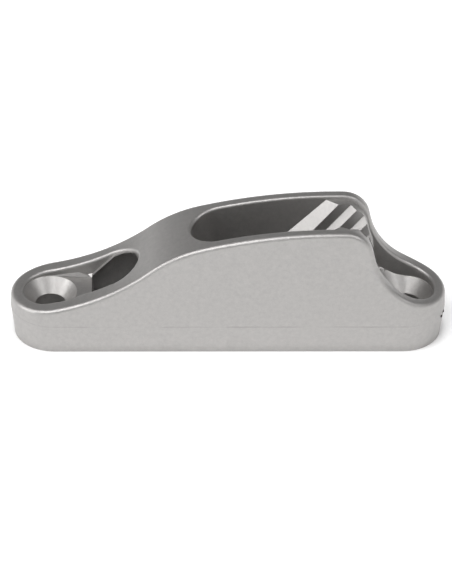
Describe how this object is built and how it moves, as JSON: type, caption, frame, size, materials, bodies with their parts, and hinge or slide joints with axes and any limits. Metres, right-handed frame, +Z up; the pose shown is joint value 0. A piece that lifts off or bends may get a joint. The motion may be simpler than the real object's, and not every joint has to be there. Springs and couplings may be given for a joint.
{
  "type": "jam cleat",
  "caption": "One-piece rope cleat: a low oblong casting with a passage under a bridge, an open well and a toothed V jaw between two countersunk screw lugs.",
  "frame": {"origin": "middle of the flat underside", "axes": "+X from the rope passage towards the jaw's tail, +Z up, away from the deck, +Y across the casting, away from the pictured side"},
  "size_m": [0.081, 0.0164, 0.0263],
  "materials": {
    "cast_aluminium": "bead-blasted and clear anodised, satin"
  },
  "bodies": {
    "root": {"cleat_body": "cast_aluminium"}
  },
  "joints": []
}
